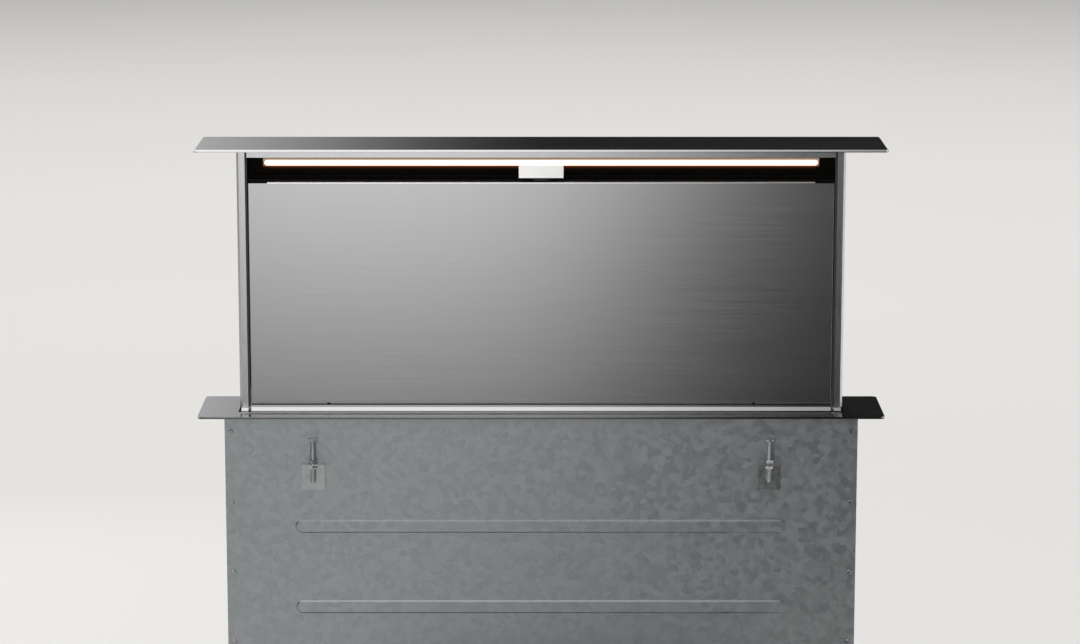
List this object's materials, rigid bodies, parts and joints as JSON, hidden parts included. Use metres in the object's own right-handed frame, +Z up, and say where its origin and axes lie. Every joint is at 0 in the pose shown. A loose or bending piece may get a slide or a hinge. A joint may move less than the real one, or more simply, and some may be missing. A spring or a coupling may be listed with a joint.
{
  "type": "downdraft vent",
  "caption": "Worktop downdraft vent: a lit intake tower under a flat steel lid rises from a slot in a flush flange, above a casing with belt lift, fan box and duct outlet.",
  "frame": {"origin": "on the floor of the cabinet, under the middle of the vent's bounding box", "axes": "+X along the vent to the right as the cook sees it, -Y towards the cook, +Z up"},
  "size_m": [0.9, 0.2796, 1.0882],
  "materials": {
    "brushed_steel": "fine brushed stainless steel",
    "polished_steel": "satin polished stainless steel",
    "galvanised_steel": "galvanised sheet steel",
    "zinc_plated_steel": "bright zinc-plated steel",
    "machined_steel": "ground steel",
    "black_coated_steel": "matt black powder coat",
    "black_anodised_aluminium": "black anodised",
    "aluminium": "mill finish",
    "grey_painted_steel": "grey powder coat",
    "black_rubber": "matt",
    "black_foam_rubber": "closed-cell foam",
    "belt_rubber": "fabric-backed",
    "black_plastic": "moulded",
    "white_acetal": "moulded",
    "green_circuit_board": "solder-masked glass epoxy",
    "opal_diffuser": "opal"
  },
  "bodies": {
    "housing": {"flange_plate": "brushed_steel", "flange_seal": "black_foam_rubber", "casing_front": "galvanised_steel", "casing_back": "galvanised_steel", "casing_sides": "galvanised_steel", "casing_base": "galvanised_steel", "foot_brackets": "zinc_plated_steel", "guide_rails": "zinc_plated_steel", "drive_belts": "belt_rubber", "shaft_bearings": "aluminium", "idler_brackets": "zinc_plated_steel", "lift_gearbox": "grey_painted_steel", "lift_motor": "machined_steel", "limit_switches": "black_plastic", "worktop_clamps": "zinc_plated_steel", "fan_box_shell": "galvanised_steel", "fan_box_cover": "galvanised_steel", "fan_box_feet": "black_rubber", "fan_scroll": "galvanised_steel", "fan_inlet_ring": "galvanised_steel", "fan_motor": "grey_painted_steel", "duct_spigot": "black_plastic", "spigot_flange": "galvanised_steel", "damper_pin": "machined_steel", "control_box": "black_plastic", "control_box_lid": "black_plastic", "main_board": "green_circuit_board", "mains_inlet": "black_plastic"},
    "tower": {"lid_plate": "brushed_steel", "lid_buffers": "black_rubber", "head_rail": "brushed_steel", "upright_left": "polished_steel", "upright_right": "polished_steel", "tower_back_panel": "brushed_steel", "front_skirt": "brushed_steel", "sill": "polished_steel", "front_panel": "brushed_steel", "lamp_carrier": "black_anodised_aluminium", "lamp_diffuser": "opal_diffuser", "lamp_board": "green_circuit_board", "touch_board": "green_circuit_board", "intake_baffle": "black_coated_steel", "filter_frames": "aluminium", "filter_meshes": "aluminium", "filter_rail": "galvanised_steel", "catch_guides": "black_plastic", "carriage_plates": "zinc_plated_steel", "carriage_beam": "galvanised_steel", "carriage_gliders": "white_acetal", "belt_clamps": "black_plastic"},
    "panel_catch": {"catch_slider": "black_plastic", "catch_tab": "polished_steel"},
    "drive_line": {"drive_shaft": "machined_steel", "drive_pulleys": "aluminium"},
    "left_idler": {"idler_left": "white_acetal"},
    "right_idler": {"idler_right": "white_acetal"},
    "fan_wheel": {"impeller": "galvanised_steel", "fan_shaft": "machined_steel"},
    "front_flap": {"damper_flap_front": "black_plastic"},
    "back_flap": {"damper_flap_back": "black_plastic"}
  },
  "joints": [
    {"name": "lift", "type": "slide", "parent": "housing", "child": "tower", "axis": [0, 0, 1], "range_m": [-0.348, 0]},
    {"name": "catch_lift", "type": "slide", "parent": "tower", "child": "panel_catch", "axis": [0, 0, 1], "range_m": [0, 0.004], "stiffness_N_per_m": 500, "springref_m": -0.004},
    {"name": "shaft_turn", "type": "hinge", "parent": "housing", "child": "drive_line", "pos_m": [0, 0.07625, 0.1], "axis": [1, 0, 0], "range_deg": [-1580, 5]},
    {"name": "left_idler_turn", "type": "hinge", "parent": "housing", "child": "left_idler", "pos_m": [-0.404, 0.07625, 0.714], "axis": [1, 0, 0], "range_deg": [-1580, 5]},
    {"name": "right_idler_turn", "type": "hinge", "parent": "housing", "child": "right_idler", "pos_m": [0.404, 0.07625, 0.714], "axis": [1, 0, 0], "range_deg": [-1580, 5]},
    {"name": "fan_spin", "type": "hinge", "parent": "housing", "child": "fan_wheel", "pos_m": [-0.03, -0.05475, 0.165], "axis": [0, 1, 0], "continuous": true},
    {"name": "front_flap_swing", "type": "hinge", "parent": "housing", "child": "front_flap", "pos_m": [0.246, -0.05475, 0.2485], "axis": [0, 0, 1], "range_deg": [0, 80], "stiffness_Nm_per_rad": 0.02, "springref_deg": -17.19},
    {"name": "back_flap_swing", "type": "hinge", "parent": "housing", "child": "back_flap", "pos_m": [0.246, -0.05475, 0.2485], "axis": [0, 0, -1], "range_deg": [0, 80], "stiffness_Nm_per_rad": 0.02, "springref_deg": -17.19}
  ],
  "couplings": [
    {"joint": "shaft_turn", "follows": "lift", "rad_per_m": 78.74},
    {"joint": "left_idler_turn", "follows": "lift", "rad_per_m": 78.74},
    {"joint": "right_idler_turn", "follows": "lift", "rad_per_m": 78.74}
  ]
}
